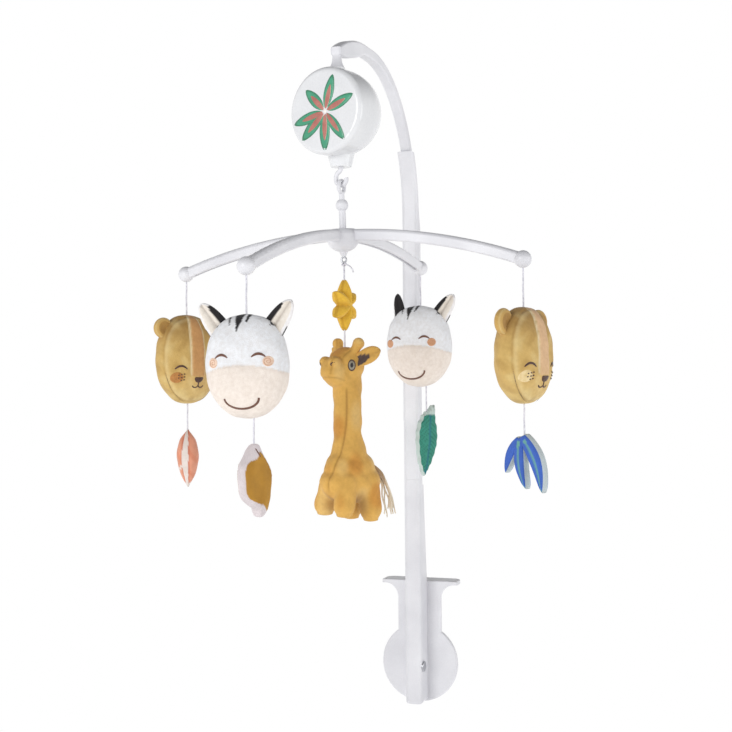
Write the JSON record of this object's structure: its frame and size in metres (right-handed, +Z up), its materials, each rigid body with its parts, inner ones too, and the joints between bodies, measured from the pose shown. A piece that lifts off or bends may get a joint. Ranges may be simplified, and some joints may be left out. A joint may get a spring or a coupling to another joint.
{
  "type": "crib mobile",
  "caption": "Wind-up crib mobile: clamp-on post with a crook arm, a music drum and a turning cross hung with plush heads, leaf cushions, a star and a giraffe.",
  "frame": {"origin": "where the clamp bolt's axis meets the back face of the clamp plate", "axes": "+Z up along the post, +Y out of the plate's back towards the rail, -Y along the crook's reach over the crib, +X along the ledge"},
  "size_m": [0.3785, 0.4665, 0.64],
  "materials": {
    "white_plastic": "satin",
    "drum_plastic": "gloss",
    "knob_plastic": "satin",
    "pad_rubber": "matte",
    "steel": "satin",
    "brass": "satin",
    "zinc": "matte",
    "string": "matte",
    "lion_velour": "matte",
    "zebra_velour": "matte",
    "giraffe_velour": "matte",
    "star_velour": "matte",
    "leaf_blue": "matte",
    "leaf_green": "matte",
    "leaf_coral": "matte",
    "leaf_mustard": "matte",
    "yarn": "matte"
  },
  "bodies": {
    "stand": {"rail_bracket": "white_plastic", "middle_post": "white_plastic", "crook_arm": "white_plastic", "clamp_bolt": "steel", "bolt_retainer_pin": "white_plastic", "music_box_front": "drum_plastic", "music_box_back": "drum_plastic", "box_screws": "steel", "spindle_bush": "brass", "movement_plate": "zinc", "movement_bridge": "brass", "tone_comb": "steel", "comb_screws": "steel"},
    "jaw": {"clamp_jaw": "knob_plastic", "jaw_pad": "pad_rubber"},
    "knob": {"clamp_knob": "knob_plastic"},
    "key": {"winding_key": "knob_plastic", "barrel_arbor": "steel"},
    "barrel": {"spring_barrel": "brass", "mainspring": "steel"},
    "cylinder": {"pin_cylinder": "brass"},
    "idler": {"idler_wheel": "brass"},
    "fan": {"governor": "brass"},
    "spindle": {"spindle_hook": "white_plastic"},
    "cross": {"hanger_stem": "white_plastic", "cross_hub": "white_plastic", "hub_eyelet": "white_plastic", "arm_right": "white_plastic", "arm_rear": "white_plastic", "arm_left": "white_plastic", "arm_front": "white_plastic", "ball_right": "white_plastic", "ball_rear": "white_plastic", "ball_left": "white_plastic", "ball_front": "white_plastic"},
    "hang_centre": {"centre_string": "string"},
    "star": {"star_cushion": "star_velour"},
    "giraffe_toy": {"giraffe": "giraffe_velour", "giraffe_tail": "yarn"},
    "hang_right": {"string_right": "string"},
    "toy_right": {"lion_head_right": "lion_velour"},
    "tail_right": {"leaf_string_right": "string", "leaf_right": "leaf_blue"},
    "hang_rear": {"string_rear": "string"},
    "toy_rear": {"zebra_head_rear": "zebra_velour"},
    "tail_rear": {"leaf_string_rear": "string", "leaf_rear": "leaf_green"},
    "hang_left": {"string_left": "string"},
    "toy_left": {"lion_head_left": "lion_velour"},
    "tail_left": {"leaf_string_left": "string", "leaf_left": "leaf_coral"},
    "hang_front": {"string_front": "string"},
    "toy_front": {"zebra_head_front": "zebra_velour"},
    "tail_front": {"leaf_string_front": "string", "leaf_front": "leaf_mustard"}
  },
  "joints": [
    {"name": "jaw_slide", "type": "slide", "parent": "stand", "child": "jaw", "axis": [0, 1, 0], "range_m": [-0.008, 0.012]},
    {"name": "knob_turn", "type": "hinge", "parent": "jaw", "child": "knob", "pos_m": [0, 0.03, 0], "axis": [0, 1, 0], "range_deg": [-720, 1080]},
    {"name": "key_wind", "type": "hinge", "parent": "stand", "child": "key", "pos_m": [0.00882, -0.20124, 0.527], "axis": [0.2756, 0.9613, 0], "continuous": true},
    {"name": "mobile_spin", "type": "hinge", "parent": "stand", "child": "spindle", "pos_m": [0, -0.232, 0.48], "axis": [0, 0, 1], "continuous": true},
    {"name": "barrel_spin", "type": "hinge", "parent": "stand", "child": "barrel", "pos_m": [0.00276, -0.22239, 0.527], "axis": [0.2756, 0.9613, 0], "continuous": true},
    {"name": "cylinder_spin", "type": "hinge", "parent": "stand", "child": "cylinder", "pos_m": [-0.01527, -0.22554, 0.5365], "axis": [0.2756, 0.9613, 0], "continuous": true},
    {"name": "idler_spin", "type": "hinge", "parent": "stand", "child": "idler", "pos_m": [0.01681, -0.23474, 0.53316], "axis": [0.2756, 0.9613, 0], "continuous": true},
    {"name": "fan_spin", "type": "hinge", "parent": "stand", "child": "fan", "pos_m": [0.02453, -0.23695, 0.52358], "axis": [0.2756, 0.9613, 0], "continuous": true},
    {"name": "hanger_swing", "type": "hinge", "parent": "spindle", "child": "cross", "pos_m": [0, -0.232, 0.4669], "axis": [0.9914, -0.1305, 0], "range_deg": [-3, 3]},
    {"name": "toy_swing_right", "type": "hinge", "parent": "cross", "child": "hang_right", "pos_m": [0.16412, -0.24948, 0.38646], "axis": [0.9914, -0.1305, 0], "range_deg": [-10, 10]},
    {"name": "toy_twist_right", "type": "hinge", "parent": "hang_right", "child": "toy_right", "pos_m": [0.16412, -0.24948, 0.3542], "axis": [0, 0, 1], "range_deg": [-20, 20]},
    {"name": "leaf_twist_right", "type": "hinge", "parent": "toy_right", "child": "tail_right", "pos_m": [0.16412, -0.24948, 0.2747], "axis": [0, 0, 1], "range_deg": [-60, 60]},
    {"name": "toy_swing_rear", "type": "hinge", "parent": "cross", "child": "hang_rear", "pos_m": [0.02204, -0.06461, 0.39567], "axis": [0.1305, 0.9914, 0], "range_deg": [-10, 10]},
    {"name": "toy_twist_rear", "type": "hinge", "parent": "hang_rear", "child": "toy_rear", "pos_m": [0.02204, -0.06461, 0.3675], "axis": [0, 0, 1], "range_deg": [-20, 20]},
    {"name": "leaf_twist_rear", "type": "hinge", "parent": "toy_rear", "child": "tail_rear", "pos_m": [0.02704, -0.06446, 0.2845], "axis": [0, 0, 1], "range_deg": [-60, 60]},
    {"name": "toy_swing_left", "type": "hinge", "parent": "cross", "child": "hang_left", "pos_m": [-0.16305, -0.20641, 0.38646], "axis": [-0.9914, 0.1305, 0], "range_deg": [-10, 10]},
    {"name": "toy_twist_left", "type": "hinge", "parent": "hang_left", "child": "toy_left", "pos_m": [-0.16305, -0.20641, 0.3558], "axis": [0, 0, 1], "range_deg": [-20, 20]},
    {"name": "leaf_twist_left", "type": "hinge", "parent": "toy_left", "child": "tail_left", "pos_m": [-0.16305, -0.20641, 0.2734], "axis": [0, 0, 1], "range_deg": [-60, 60]},
    {"name": "toy_swing_front", "type": "hinge", "parent": "cross", "child": "hang_front", "pos_m": [-0.02097, -0.39128, 0.37725], "axis": [-0.1305, -0.9914, 0], "range_deg": [-10, 10]},
    {"name": "toy_twist_front", "type": "hinge", "parent": "hang_front", "child": "toy_front", "pos_m": [-0.02097, -0.39128, 0.3474], "axis": [0, 0, 1], "range_deg": [-20, 20]},
    {"name": "leaf_twist_front", "type": "hinge", "parent": "toy_front", "child": "tail_front", "pos_m": [-0.01603, -0.39052, 0.2675], "axis": [0, 0, 1], "range_deg": [-60, 60]},
    {"name": "centre_swing", "type": "hinge", "parent": "cross", "child": "hang_centre", "pos_m": [0.00051, -0.22813, 0.39701], "axis": [0.9914, -0.1305, 0], "range_deg": [-8, 8]},
    {"name": "star_twist", "type": "hinge", "parent": "hang_centre", "child": "star", "pos_m": [0.00051, -0.22813, 0.3604], "axis": [0, 0, 1], "range_deg": [-90, 90]},
    {"name": "giraffe_twist", "type": "hinge", "parent": "hang_centre", "child": "giraffe_toy", "pos_m": [0.00051, -0.22813, 0.3245], "axis": [0, 0, 1], "range_deg": [-90, 90]}
  ],
  "couplings": [
    {"joint": "knob_turn", "follows": "jaw_slide", "rad_per_m": 1570.8},
    {"joint": "barrel_spin", "follows": "mobile_spin", "ratio": 0.27273},
    {"joint": "cylinder_spin", "follows": "mobile_spin", "ratio": -0.76364},
    {"joint": "idler_spin", "follows": "mobile_spin", "ratio": -0.95455},
    {"joint": "fan_spin", "follows": "mobile_spin", "ratio": 3.8182}
  ]
}
